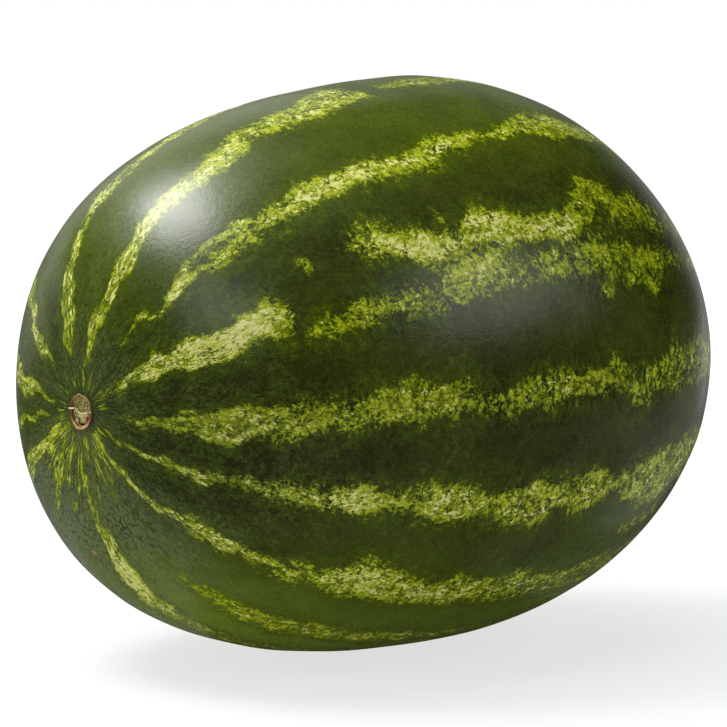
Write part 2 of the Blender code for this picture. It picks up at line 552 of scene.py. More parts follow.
# The pale stripes, as they run from the stem end to the blossom end. Each row is
# angle, turn and half width in degrees, how well the stripe is filled, and how much cream it holds.
stripes = {
    "front": [
        (7, -1, 2.2, 0.15, 0), (10, -1, 3.2, 0.4, 0.1), (14, -1.4, 3.4, 0.55, 0.3),
        (18, -1.8, 3.4, 0.5, 0.25), (22, -1.4, 4.8, 0.7, 0.3), (26, -0.8, 5.6, 0.8, 0.4),
        (30, 0, 5.8, 0.85, 0.45), (35, 0.4, 5.6, 0.85, 0.5), (40, 0.6, 4.8, 0.81, 0.28),
        (46, 1.2, 3.4, 0.76, 0.22), (52, 2.3, 4.2, 0.81, 0.25), (58, 2.6, 4.2, 0.81, 0.28),
        (64, 2.4, 4, 0.71, 0.4), (69, 0.8, 2.6, 0.66, 0.2), (73, 0.5, 2.4, 0.66, 0.2),
        (78, 1, 3, 0.71, 0.26), (84, 2, 4, 0.79, 0.4), (90, 1.6, 3.6, 0.71, 0.26), (95, 1, 3, 0.66, 0.23),
        (99, 3, 2.6, 0.61, 0.2), (104, -0.5, 4, 0.75, 0.4), (109, -0.8, 3.8, 0.66, 0.26),
        (113, 1, 3.2, 0.61, 0.2), (119, 1, 4.8, 0.66, 0.26), (126, 1, 5, 0.61, 0.2), (135, 0, 5, 0.78, 0.5),
        (150, 0, 5, 0.72, 0.5), (165, 0, 6, 0.72, 0.5), (172, 0, 6, 0.45, 0.2),
    ],
    "shoulderStem": [
        (5, 27, 3, 0.2, 0), (9, 27, 4, 0.45, 0.3), (12, 27, 5, 0.7, 0.6), (16, 27, 5.8, 0.85, 0.7),
        (20, 26, 5.4, 0.85, 0.7), (24, 25, 4.8, 0.9, 0.8), (28, 25.4, 5, 1, 0.9), (33, 25.5, 5.4, 1, 0.98),
        (38, 25.5, 5.4, 1, 0.95), (40.3, 25, 5, 0.95, 0.7), (41.2, 25, 4.4, 0, 0),
    ],
    "shoulderTip": [(36, 31, 1, 0, 0), (38.5, 31.5, 1.8, 0.6, 0.3), (41, 31.5, 1.2, 0.3, 0)],
    "shoulderLow": [
        (41, 20.5, 1.5, 0.3, 0), (43, 20.5, 2.2, 0.75, 0.4), (47, 21, 3, 0.8, 0.4),
        (52, 22, 2.4, 0.65, 0.3), (58, 22.5, 3, 0.7, 0.4), (64, 23, 3.6, 0.6, 0.3),
        (70, 25, 4.5, 0.6, 0.45), (76, 26, 4.5, 0.6, 0.5), (82, 25, 3, 0.6, 0.35),
        (90, 24.3, 2.8, 0.7, 0.4), (97, 24.3, 3, 0.65, 0.4), (102, 25.5, 3.2, 0.75, 0.4),
        (108, 22, 4.5, 0.55, 0.25), (115, 21, 4.5, 0.55, 0.25), (122, 23, 2.4, 0.6, 0.3),
        (130, 23, 2.4, 0.5, 0.2), (140, 22, 3, 0.78, 0.5), (155, 20, 3.5, 0.72, 0.5),
        (170, 20, 4, 0.72, 0.5),
    ],
    "shoulderLine": [
        (66, 26.5, 1, 0.3, 0.2), (71, 26, 1.6, 0.9, 0.9), (77, 27, 2, 0.95, 1), (80, 27, 1, 0.2, 0),
    ],
    "shoulderField": [
        (62, 28, 3, 0.12, 0), (68, 28, 7, 0.2, 0.03), (76, 28, 7.5, 0.2, 0.03), (83, 28, 4, 0.09, 0),
    ],
    "farField": [
        (97, 31, 3, 0.2, 0), (103, 31, 8, 0.4, 0.2), (112, 30, 9, 0.4, 0.15), (122, 29, 7, 0.3, 0.1),
        (130, 28, 3, 0.1, 0),
    ],
    "shoulderSpot": [(99, 18.5, 1, 0.2, 0), (101.5, 18.5, 1.8, 0.85, 0.5), (104, 18.5, 1, 0.2, 0)],
    "shoulderFleck": [(112, 17.5, 1, 0.2, 0), (116, 17.5, 1.4, 0.8, 0.4), (119, 17.5, 1, 0.2, 0)],
    "upperBud": [(43, 38, 1.4, 0.2, 0), (45.5, 37.8, 2.4, 0.8, 0.2), (48, 38, 1.4, 0.2, 0)],
    "upper": [
        (51, 37, 1.2, 0.2, 0), (54, 37, 3, 0.65, 0.3), (58, 37.5, 3.6, 1, 0.95), (61, 35, 3.8, 1, 1),
        (64, 32.5, 3.8, 1, 1), (68, 32.3, 3, 0.98, 1), (72, 33, 3.2, 0.86, 0.76),
        (76, 34.5, 4.2, 0.92, 0.83), (82, 34.5, 4.4, 0.98, 0.88), (87, 33, 3.4, 0.98, 0.95),
        (94, 32.5, 3.4, 0.92, 0.88), (100, 32.5, 3.4, 0.86, 0.76), (103, 35, 2.4, 0.7, 0.3),
        (108, 39, 3.2, 0.75, 0.4), (113, 36.5, 4, 0.65, 0.3), (118, 35, 4, 0.55, 0.2),
        (124, 34, 4, 0.6, 0.3), (132, 32, 3.5, 0.5, 0.25), (145, 32, 4, 0.78, 0.5), (160, 33, 4, 0.72, 0.5),
        (172, 33, 4, 0.45, 0.2),
    ],
    "upperCrumb": [(69, 38.5, 0.8, 0.2, 0), (70.7, 38.5, 2, 0.8, 0.3), (72.2, 38.5, 0.8, 0.2, 0)],
    "crownStart": [
        (11, 49, 1, 0.22, 0), (15, 49, 1.6, 0.55, 0.3), (18, 52, 1.4, 0.55, 0.3), (21, 50.5, 2, 0.66, 0.45),
        (24, 48.5, 1.8, 0.72, 0.6), (27, 49.5, 3.8, 0.88, 0.9), (31, 50, 3.6, 0.66, 0.6), (33, 50, 3, 0, 0),
    ],
    "crownLow": [
        (25, 47.5, 2, 0.7, 0.5), (31, 48, 2.2, 0.9, 0.75), (36, 48.5, 2.2, 0.9, 0.8),
        (42, 50, 2.2, 0.8, 0.6),
    ],
    "crownHigh": [
        (25, 52, 1.5, 0.6, 0.4), (31, 54, 1.8, 0.8, 0.6), (36, 54, 1.8, 0.85, 0.6), (42, 53.5, 2, 0.8, 0.6),
    ],
    "crown": [
        (39, 51.5, 2.6, 0.6, 0.4), (46, 52.5, 3, 0.85, 0.6), (52, 54, 3.4, 0.95, 0.8),
        (58, 54.5, 3.5, 1, 0.85), (65, 54.5, 3.1, 0.95, 0.8), (72, 54, 3, 0.9, 0.7),
        (78, 54.6, 3.6, 0.9, 0.65), (84, 57, 2.9, 0.9, 0.65), (92, 57.2, 2, 0.9, 0.8),
        (98, 57, 1.8, 0.85, 0.8), (104, 58.5, 3.4, 0.8, 0.5), (112, 59.5, 4.4, 0.85, 0.5),
        (118, 59.5, 4.5, 0.85, 0.6), (126, 59, 4, 0.8, 0.6), (138, 58, 4, 0.78, 0.5),
        (155, 57, 4.5, 0.72, 0.5), (172, 57, 5, 0.45, 0.2),
    ],
    "top": [
        (4, 75, 3, 0.2, 0), (8, 75, 4.5, 0.5, 0.1), (12, 75, 5.5, 0.8, 0.5), (17, 75, 5.3, 0.85, 0.5),
        (22, 74, 4, 0.85, 0.6), (28, 75.5, 4, 0.9, 0.7), (36, 77, 3.6, 0.95, 0.8),
        (45, 76.6, 3.8, 0.95, 0.8), (50, 77.5, 4.5, 0.95, 0.8), (56, 81, 3, 0.9, 0.7),
        (62, 80, 4, 0.9, 0.7), (68, 80, 5, 0.85, 0.6), (75, 83, 5.4, 0.85, 0.6), (80, 84.5, 6, 0.8, 0.5),
        (83.5, 83, 4.5, 0.6, 0.3), (85, 83, 2, 0.05, 0), (88, 83, 1.5, 0.05, 0), (90, 83.5, 2.3, 0.8, 0.5),
        (97, 83, 2.8, 0.8, 0.6), (104, 84, 3, 0.75, 0.5), (112, 84, 3.1, 0.75, 0.5),
        (120, 84, 3.2, 0.7, 0.4), (135, 84, 3.6, 0.78, 0.5), (155, 84, 4, 0.72, 0.5),
        (172, 84, 5, 0.45, 0.2),
    ],
    "ridge": [
        (8, 105, 3, 0.32, 0), (12, 105, 5.5, 0.73, 0.34), (16, 104, 6, 0.84, 0.51),
        (22, 104, 4.5, 0.73, 0.51), (28, 105.5, 3.4, 0.79, 0.85), (34, 105, 3, 0.73, 0.85),
        (39, 104, 2.6, 0.63, 0.68), (46, 102, 3, 0.9, 0.7), (56, 102, 3.2, 0.9, 0.7),
        (70, 103, 3.2, 0.8, 0.5), (90, 104, 3.6, 0.75, 0.4), (115, 104, 4, 0.7, 0.4),
        (140, 104, 4, 0.78, 0.5), (160, 104, 4.5, 0.72, 0.5), (172, 104, 5, 0.45, 0.2),
    ],
    "backHigh": [
        (7, 139, 2.5, 0.3, 0.1), (14, 140, 4, 0.75, 0.6), (22, 139.5, 4, 0.75, 0.5),
        (30, 139, 3.6, 0.7, 0.4), (45, 138, 3.6, 0.75, 0.5), (65, 137, 4, 0.85, 0.6),
        (90, 136, 4.2, 0.8, 0.5), (115, 137, 4, 0.7, 0.4), (140, 138, 4, 0.78, 0.5),
        (160, 138, 4, 0.72, 0.5), (172, 138, 5, 0.45, 0.2),
    ],
    "back": [
        (7, 169, 3.5, 0.45, 0.1), (14, 169, 5.5, 0.75, 0.4), (22, 169, 5, 0.75, 0.5),
        (35, 168, 4, 0.75, 0.5), (60, 167, 4, 0.85, 0.6), (78, 169, 5, 0.9, 0.6), (90, 166, 3, 0.8, 0.5),
        (120, 167, 4.4, 0.7, 0.4), (145, 168, 4, 0.78, 0.5), (172, 168, 4, 0.45, 0.2),
    ],
    "backThread": [
        (8, 189, 2, 0.4, 0.1), (14, 189, 3.2, 0.7, 0.3), (22, 189, 3, 0.65, 0.3), (32, 188, 2, 0.4, 0.1),
    ],
    "backLow": [
        (4, 212, 6, 0.4, 0), (9, 212, 6, 0.6, 0.1), (14, 210, 5, 0.75, 0.5), (25, 210, 5, 0.75, 0.5),
        (45, 207, 4, 0.75, 0.5), (70, 203, 4.6, 0.85, 0.6), (84, 200, 3.4, 0.8, 0.5),
        (100, 201, 5, 0.8, 0.5), (130, 203, 4.2, 0.6, 0.3), (150, 205, 4, 0.72, 0.5),
        (172, 205, 4, 0.45, 0.2),
    ],
    "underBack": [
        (5, 235, 2, 0.3, 0), (12, 235, 2.5, 0.45, 0.1), (30, 235, 2.8, 0.45, 0.2), (55, 236, 3.6, 0.6, 0.3),
        (85, 238, 4, 0.7, 0.4), (115, 238, 4, 0.65, 0.4), (145, 237, 4, 0.78, 0.5),
        (172, 236, 4, 0.45, 0.2),
    ],
    "underBackBlob": [(3, 243, 3, 0.2, 0), (6, 243, 4, 0.7, 0.1), (10, 243, 2, 0.2, 0)],
    "underFleck": [(13, 253, 1.5, 0.1, 0), (17, 253, 2.2, 0.5, 0.2), (20, 253, 1.5, 0.1, 0)],
    "under": [
        (4, 266, 2.5, 0.4, 0.1), (7.5, 266, 4, 0.8, 0.5), (10, 268, 3, 0.4, 0.1), (16, 270, 3, 0.4, 0.1),
        (20, 272, 4.8, 0.78, 0.41), (27, 272, 5.5, 1, 0.81), (34, 272, 5.5, 1, 0.81),
        (38, 273, 4.2, 0.78, 0.54), (50, 274, 3.8, 0.65, 0.4), (60, 277, 3.6, 0.6, 0.4),
        (75, 278, 3.6, 0.65, 0.4), (100, 279, 4, 0.65, 0.4), (130, 278, 4, 0.55, 0.3),
        (155, 276, 4, 0.72, 0.5), (172, 275, 4, 0.45, 0.2),
    ],
    # a stripe low on the front, its fill and cream raised, partly as painted light from below
    "underFront": [
        (21, 295, 2.4, 0.25, 0.14), (32, 295, 3, 0.5, 0.14), (40, 295, 3.8, 0.75, 0.28),
        (48, 295, 4.2, 0.81, 0.42), (60, 294.5, 3.8, 0.81, 0.56), (75, 294.5, 3.5, 0.75, 0.56),
        (88, 293.5, 3.2, 0.69, 0.56), (96, 293, 3, 0.5, 0.28), (115, 294, 3, 0.45, 0.2),
        (140, 295, 3.6, 0.78, 0.5), (172, 295, 4, 0.45, 0.2),
    ],
    "lower": [
        (4, 314, 2.5, 0.5, 0.2), (9, 315, 2.4, 0.7, 0.5), (12, 315, 3.2, 0.85, 0.7),
        (17, 315.5, 3, 0.85, 0.7), (21, 317, 2.2, 0.8, 0.6), (27, 319, 3.8, 0.75, 0.5),
        (34, 318, 3.8, 0.85, 0.7), (38, 317.6, 2, 0.8, 0.6), (44, 317, 3, 0.8, 0.6),
        (49, 319, 5.4, 0.9, 0.63), (55, 319, 6.8, 1, 0.84), (60, 317.5, 5.4, 0.9, 0.63),
        (66, 315.5, 4.3, 0.9, 0.73), (72, 316, 5.4, 0.85, 0.63), (80, 315.6, 4.4, 0.85, 0.6),
        (90, 315.5, 4.4, 0.8, 0.5), (100, 314.5, 4.8, 0.7, 0.4), (112, 314, 5, 0.6, 0.3),
        (125, 314, 5, 0.55, 0.3), (145, 314, 5, 0.78, 0.5), (172, 314, 4, 0.45, 0.2),
    ],
    "frontLow": [
        (5, 336, 2.2, 0.4, 0.2), (8, 337, 1.8, 0.5, 0.3), (13, 337, 2, 0.6, 0.4), (18, 339, 3.1, 0.75, 0.6),
        (23, 339, 3.4, 0.8, 0.7), (28, 341, 2.1, 0.75, 0.6), (33, 341, 2.2, 0.75, 0.5),
        (38, 341, 2.9, 0.8, 0.6), (43, 341, 3.6, 0.9, 0.8), (50, 341, 3.6, 0.95, 0.85),
        (54, 341, 2.2, 0.8, 0.5), (58, 341, 3.6, 0.9, 0.75), (66, 341, 4, 0.95, 0.85),
        (72, 340.5, 3.1, 0.85, 0.6), (78, 338.8, 4.9, 0.85, 0.6), (84, 338.8, 5.2, 0.85, 0.6),
        (89, 341, 3.1, 0.8, 0.5), (95, 339.6, 4.8, 0.85, 0.6), (101, 340.4, 2.9, 0.75, 0.5),
        (104, 341, 2, 0.7, 0.4), (110, 338.5, 5.6, 0.8, 0.5), (118, 338, 6.3, 0.8, 0.5),
        (126, 338, 6.3, 0.75, 0.4), (145, 337, 6.2, 0.78, 0.5), (172, 336, 5.6, 0.45, 0.2),
    ],
    "frontLowBranch": [
        (105, 327, 1.5, 0.1, 0), (112, 327, 2, 0.7, 0.4), (122, 327, 2, 0.7, 0.3), (130, 327, 1.5, 0.1, 0),
    ],
}

rind = {
    "sides": 360,
    "fineReach": 25.0,        # millimetres from the stem's end with the finest rings
    "fineStep": 0.7,
    "step": 1.66,
    "measureSteps": 4001,     # points along the skin as it is measured
    # the stripes' edges
    "edge": 3.1,              # softness
    "creamInset": 1.4,        # the cream keeps this far inside
    "haloReach": 11.0,
    "stemLift": 0.5,          # how much fuller the stripes are close to the stem
    "stemCrispness": 0.62,    # and how much sharper their edges
    "stemLiftReach": (20.0, 46.0),
    "liftedFill": (0.3, 0.6),  # a stripe that is less filled than this isn't lifted
    "warp": 1.5,              # how far the edges wander
    "warpSize": 16.0,
    "warpAlong": 0.4,         # the share of it along the fruit
    "warpCore": 25.0,         # the wander turns no faster than it does this far from the axis
    # how light the bare skin is at some turns: deepest on the front, lighter above, and lighter below, partly
    # as painted light from the table
    "shades": [
        (-15, 0.12), (12, 0.12), (40, 0.10), (65, 0.27), (100, 0.3), (150, 0.22), (200, 0.26),
        (240, 0.56), (270, 0.95), (288, 0.86), (300, 0.6), (322, 0.24), (345, 0.1),
    ],
    # and what changes it: how much, over which angles from the stem end and about which turn
    "stemDark": (0.7, (8, 30)),
    "frontDark": (0.14, (24, 52), -14),
    "farLight": (0.26, (88, 130), 304),
    "blossomShade": (0.3, 0.75, (128, 168)),     # its shade, and how near the skin comes to it
    # the grey waxy bloom with a painted sheen: its turn, how it fades above, its reach, and a collar of it
    # round the scar
    "bloomAndSheenTurn": 258,
    "bloomAndSheenSides": (0.25, 0.85),
    "bloomAndSheenAbove": 0.2,
    "bloomAndSheenReach": (12, 60),
    "collar": (0.45, (4, 22)),
    # the pale spot where the fruit lay: angle and turn, size, strength and how soft and uneven its edge is
    "spotPlace": (96, 262),
    "spotSize": (26, 15),
    "spotStrength": 0.8,
    "spotEdge": (0.2, 1.25),
    "spotWander": (0.14, 18.0),
    # the streaks round the scars, in millimetres from them
    "fanStart": (6.5, 11.0),
    "fanReach": (24.0, 52.0),  # to the end of the streaks: above, and on the low side
    "fanFade": 0.45,          # the share of that reach from which they fade
    "fanStrength": (0.84, 0.16),  # everywhere, and what the low side adds
    "blossomFan": (0.75, (4.0, 8.0), (10.0, 30.0)),
    # the net of veins
    "weaveStretch": 0.3,      # how short it is along the fruit
    "weaveNarrowing": 0.38,   # and how much its meshes widen away from the scar
}


def rindRings():
    # ring angles from end to end, evenly spaced along the skin: fine near the stem scar
    angles = np.linspace(0, math.pi, rind["measureSteps"])
    line = bareShape(angles, np.zeros_like(angles)) * fruitRadius / mm
    length = np.concatenate([[0], np.cumsum(np.linalg.norm(np.diff(line, axis=0), axis=1))])
    fine = np.arange(rind["fineStep"], rind["fineReach"], rind["fineStep"])
    count = int((length[-1] - rind["fineReach"]) / rind["step"])
    coarse = np.linspace(rind["fineReach"], length[-1] - rind["fineStep"], count)
    places = np.concatenate([fine, coarse])
    return np.interp(places, length, angles), places, length[-1]


def stripeFields(angle, turn, reach):
    # how far the stripes cover the skin at each point, how much cream they hold and the green glow round them
    bare = np.ones_like(angle)
    cream = np.zeros_like(angle)
    halo = np.zeros_like(angle)
    mmPerDegree = reach * math.pi / 180
    lift = 1 - smoothStep(*rind["stemLiftReach"], angle)
    edge = rind["edge"] * (1 - rind["stemCrispness"] * lift)
    for rows in stripes.values():
        places, turns, halves, fills, creams = np.array(rows, dtype=float).T
        inside = (angle >= places[0]) & (angle <= places[-1])
        off = fromTurn(turn, np.interp(angle, places, turns))
        depth = (np.interp(angle, places, halves) - np.abs(off)) * mmPerDegree
        fill = np.interp(angle, places, fills)
        strong = smoothStep(*rind["liftedFill"], fill)
        fill = (fill + rind["stemLift"] * lift * strong * np.maximum(0.95 - fill, 0)) * inside
        bare *= 1 - fill * smoothStep(-edge, edge, depth)
        middle = smoothStep(0, edge, depth - rind["creamInset"] * 0.5 * (1 - lift))
        creamHere = np.interp(angle, places, creams) * (1 + rind["stemLift"] * lift)
        cream = np.maximum(cream, creamHere * inside * middle)
        halo = np.maximum(halo, fill * smoothStep(-rind["haloReach"], 0, depth))
    return 1 - bare, cream, halo


def skinShade(angle, turn):
    # how light the bare skin is, lighter below partly as painted light. Here and below angle is in degrees
    # and turn in radians
    turns, shades = np.array(rind["shades"], dtype=float).T
    shade = np.interp((np.degrees(turn) - turns[0]) % 360 + turns[0], turns, shades)
    amount, reach = rind["stemDark"]
    shade = shade * (1 - amount * (1 - smoothStep(*reach, angle)))
    amount, reach, centre = rind["frontDark"]
    shade = shade - amount * facing(turn, centre, 4) * (1 - smoothStep(*reach, angle))
    amount, reach, centre = rind["farLight"]
    shade = shade + amount * facing(turn, centre, 8) * smoothStep(*reach, angle)
    end, amount, reach = rind["blossomShade"]
    return shade + (end - shade) * amount * smoothStep(*reach, angle)


def waxyBloomAndSheen(angle, lowness):
    # waxy bloom with a painted sheen of reflected light, strongest on the low side of the stem end
    above = rind["bloomAndSheenAbove"]
    bloomAndSheen = (above + (1 - above) * lowness) * (1 - smoothStep(*rind["bloomAndSheenReach"], angle))
    amount, reach = rind["collar"]
    return bloomAndSheen + (1 - bloomAndSheen) * amount * (1 - smoothStep(*reach, angle))


def groundSpot(angle, turn, form):
    # the soft pale spot where the fruit lay, guessed
    place = rind["spotPlace"]
    size = rind["spotSize"]
    off = np.hypot((angle - place[0]) / size[0], fromTurn(np.degrees(turn), place[1]) / size[1])
    wander, wanderSize = rind["spotWander"]
    off = off + wander * waves(form, wanderSize, 13)
    return rind["spotStrength"] * (1 - smoothStep(*rind["spotEdge"], off))


def streakFields(fromStem, length, lowness):
    # where streaks fan out from the two scars
    above, below = rind["fanReach"]
    end = above + (below - above) * lowness
    everywhere, added = rind["fanStrength"]
    fade = 1 - smoothStep(end * rind["fanFade"], end, fromStem)
    stemFan = smoothStep(*rind["fanStart"], fromStem) * fade * (everywhere + added * lowness)
    amount, start, finish = rind["blossomFan"]
    fromBlossom = length - fromStem
    return stemFan + amount * smoothStep(*start, fromBlossom) * (1 - smoothStep(*finish, fromBlossom))


def makeRind(material):
    ringAngles, along, length = rindRings()
    sides = rind["sides"]
    angle, turn = np.meshgrid(ringAngles, np.arange(sides) * 2 * math.pi / sides, indexing="ij")
    points = surface(angle, turn)
    reach = np.sin(angle) * halfLength
    stemDepth = fruit["socketDepth"]
    blossomDepth = fruit["buttonSocketDepth"]
    socket = dimple(stemDepth, fruit["socketRadius"], fruit["socketWall"], reach)
    button = dimple(blossomDepth, fruit["buttonSocketRadius"], fruit["buttonSocketWall"], reach)
    onStemSide = (angle < math.pi / 2)[..., None]
    points -= np.where(onStemSide, stemAxis * socket[..., None], blossomAxis * button[..., None]) * mm
    stemPole = surface(np.array(0.0), np.array(0.0)) - stemAxis * stemDepth * mm
    blossomPole = surface(np.array(math.pi), np.array(0.0)) - blossomAxis * blossomDepth * mm
    everything = np.concatenate([points.reshape(-1, 3), [stemPole, blossomPole]])
    everything[:, 2] = np.maximum(everything[:, 2], 0.0)      # the flat spot that it rests on
    piece = newPiece("rind", everything, ringFaces(len(ringAngles), sides), material, "rind")

    # what the skin's material reads at each vertex
    form = bareShape(angle, turn) * fruitRadius / mm
    axisReach = np.linalg.norm(form[..., 1:], axis=-1)
    size = rind["warpSize"]
    wander = waves(form, size, 11) * rind["warp"]
    turnDegrees = np.degrees(turn) + np.degrees(wander / np.maximum(axisReach, rind["warpCore"]))
    angleDegrees = np.degrees(angle) + waves(form, size, 12) * rind["warp"] * rind["warpAlong"]
    fromStem = np.broadcast_to(along[:, None], turn.shape)
    lowness = smoothStep(*rind["bloomAndSheenSides"], np.cos(turn - math.radians(rind["bloomAndSheenTurn"])))
    cover, cream, halo = stripeFields(angleDegrees, turnDegrees, axisReach)
    # each field, and its value at the stem's and the blossom's end
    fields = {
        "cover": (cover, 0, 0),
        "cream": (cream, 0, 0),
        "halo": (halo, 0, 0),
        "shade": (skinShade(angleDegrees, turn), 0.5, rind["blossomShade"][0]),
        "bloomAndSheen": (waxyBloomAndSheen(angleDegrees, lowness), 0.5, 0),
        "ground": (groundSpot(angleDegrees, turn, form), 0, 0),
        "fan": (streakFields(fromStem, length, lowness), 0, 0),
        "fromStem": (fromStem, 0, length),
    }
    for name, (values, stem, blossom) in fields.items():
        addField(piece, name, np.concatenate([values.reshape(-1), [stem, blossom]]))
    # places that run along the skin as if it were rolled out, and the same drawn together for the veins
    wide = fruitRadius / mm
    narrow = axisReach ** rind["weaveNarrowing"] * wide ** (1 - rind["weaveNarrowing"])
    for name, width, stretch in (("flow", wide, 1.0), ("weave", narrow, rind["weaveStretch"])):
        places = np.stack([width * np.cos(turn), width * np.sin(turn), fromStem * stretch], axis=-1)
        addPlaces(piece, name, np.concatenate([places.reshape(-1, 3), [[0, 0, 0], [0, 0, length]]]))
    return piece


# The skin's colours are as they show on screen in full light, and its sizes are millimetres.
skin = {
    "deep": (41, 50, 5),
    "lifted": (115, 136, 26),
    # grey of the waxy bloom, partly a painted sheen of reflected light
    "bloomAndSheen": (96, 110, 66),
    "glow": (74, 90, 0),
    "vein": (36, 45, 12),
    "outline": (66, 80, 0),
    "netTone": (44, 56, 4),
    # a stripe from its ragged edge to its middle
    "stripeTones": [
        (0.26, (56, 70, 0)), (0.4, (86, 102, 0)), (0.62, (118, 134, 0)),
        (0.8, (148, 162, 8)), (1.0, (176, 187, 36)),
    ],
    "cream": (222, 221, 142),
    "paleGreen": (186, 194, 72),
    "ground": (186, 178, 92),
    "speck": (26, 22, 8),
    "blemish": (166, 118, 84),
    "roughness": 0.22,
    "specular": 0.5,
    # how each tint comes in: from and to this level, and from and to this strength
    "glowRise": (0.2, 1.1, 0.0, 0.7),
    "bloomAndSheenRise": (0.15, 1.1, 0.0, 0.75),
    "groundRise": (0.08, 0.9, 0.0, 0.85),
    "speckRise": (0.012, 0.02, 0.9, 0.0),
    "blemishRise": (0.8, 1.7, 0.9, 0.0),
    "stripeRise": (0.27, 0.33),
    "creamRise": (0.52, 0.58, 0.0, 0.95),
    "veinRise": (-0.6, 0.3, 0.5, 0.9),
    "netToneRise": (0.2, 0.6, 0.0, 0.45),
    # noises: size, detail, roughness, bend, stretch, and the two levels between which each rises
    "noises": {
        "slow": (26.0, 4.0, 0.6, 0.0, (1, 1, 1), 0.3, 0.7),
        "lobes": (8.0, 2.0, 0.5, 0.0, (1, 1, 1), 0.3, 0.7),
        "tufts": (2.8, 2.0, 0.55, 0.4, (0.75, 0.75, 1.15), 0.41, 0.59),
        "dabs": (1.25, 3.0, 0.62, 0.5, (1, 1, 1), 0.42, 0.58),
    },
    "patches": (3.8, 3.0, 0.6, 0.5, (1, 1, 0.7), 0.38, 0.62),
    # what each mix adds up, and how much of each
    "lightMix": {"slow": 0.14, "tufts": 0.05, "dabs": 0.07},
    "glowMix": {"lobes": 0.5, "tufts": 0.35, "dabs": 0.3},
    "waxAndSheenMix": {"slow": 0.3, "tufts": 0.2, "dabs": 0.2},
    "groundMix": {"slow": 0.12, "tufts": 0.12, "dabs": 0.12},
    "veinMix": {"lobes": 0.7, "tufts": 0.5, "bloomAndSheen": 0.2},
    "plateMix": {"scales": 0.5, "net": -0.2},
    "mottleMix": {"lobes": 0.36, "tufts": 0.46, "dabs": 0.5, "plates": 0.16, "chips": 0.2, "outlines": -0.1},
    "levelMix": {"cover": 1.06, "mottle": 1.0, "plated": 1.0, "streaks": 1.25},
    "creamMix": {
        "cream": 0.85, "level": 0.5, "patches": 0.62, "plates": 0.2, "chips": 0.2, "line": 0.4,
        "dabs": 0.3, "outlines": -0.16, "streaks": 0.3, "plated": 0.5,
    },
    "reliefMix": {"tufts": 0.6, "outlines": -0.3, "net": -0.3},
    "levelStart": -0.16,
    "creamStart": -0.7,
    # size and reach of what pushes the pattern about
    "warp": (7.0, 1.8),
    "rag": (1.5, 0.55),
    "netBend": (5.0, 1.1),
    "netRag": (1.5, 0.5),
    # irregular patches: size, stretch and width of their outlines
    "plate": (2.5, (1.0, 1.0, 0.66), 0.13),
    "chip": (1.15, (1.0, 1.0, 0.8), 0.13),
    "scale": (3.3, (1.0, 1.0, 1.0), 0.1),
    "netReach": (45.0, 100.0),        # where the net of veins fades, from the stem's end
    "freckleSize": 0.8,
    "freckleContrast": 0.45,
    "combSize": 6.5,
    "strandSize": 14.3,
    "spineSize": 11.0,
    "spineWidth": 0.03,
    "speckSpacing": 34.0,
    "blemishPlace": (60.0, 258.0),    # millimetres from the scar, and turn
    "blemishShape": (0.5, 0.5, 1.0),
    "bumpStrength": 0.1,
    "bumpDepth": 0.3,
}


def around(tree, value, low, high):
    # a noise made crisp and centred on zero, from -0.5 to 0.5
    return calc(tree, "SUBTRACT", rise(tree, value, low, high), 0.5)


def addUp(tree, start, *terms):
    # start plus each (value, weight)
    total = start
    for value, weight in terms:
        total = calc(tree, "MULTIPLY_ADD", value, weight, total)
    return total


def ramp(tree, value, stops):
    # a colour that passes through each (value, colour) in turn
    node = put(tree, "ValToRGB", {"Fac": value})
    elements = node.color_ramp.elements
    while len(elements) < len(stops):
        elements.new(0.5)
    for element, (position, shade) in zip(elements, stops):
        element.position = position
        element.color = colour(*shade)
    return node.outputs["Color"]


def stirred(tree, place, size, reach):
    # place, pushed about by a noise of this size and reach
    swirl = put(tree, "TexNoise", {"Vector": place, "Scale": 1 / size, "Detail": 2.0}).outputs["Color"]
    centred = vectors(tree, "SUBTRACT", swirl, (0.5, 0.5, 0.5))
    return vectors(tree, "ADD", place, scaled(tree, centred, 2 * reach))


def cells(tree, place, size, stretch, line):
    # irregular flat patches: a random number from -0.5 to 0.5 for each, and a mask of their outlines
    spot = squashed(tree, place, size, stretch)
    value = put(tree, "SeparateColor", {"Color": crackle(tree, spot, "F1", "Color")}).outputs[0]
    edge = crackle(tree, spot, "DISTANCE_TO_EDGE")
    return calc(tree, "SUBTRACT", value, 0.5), rise(tree, edge, line * 0.15, line, 1.0, 0.0)


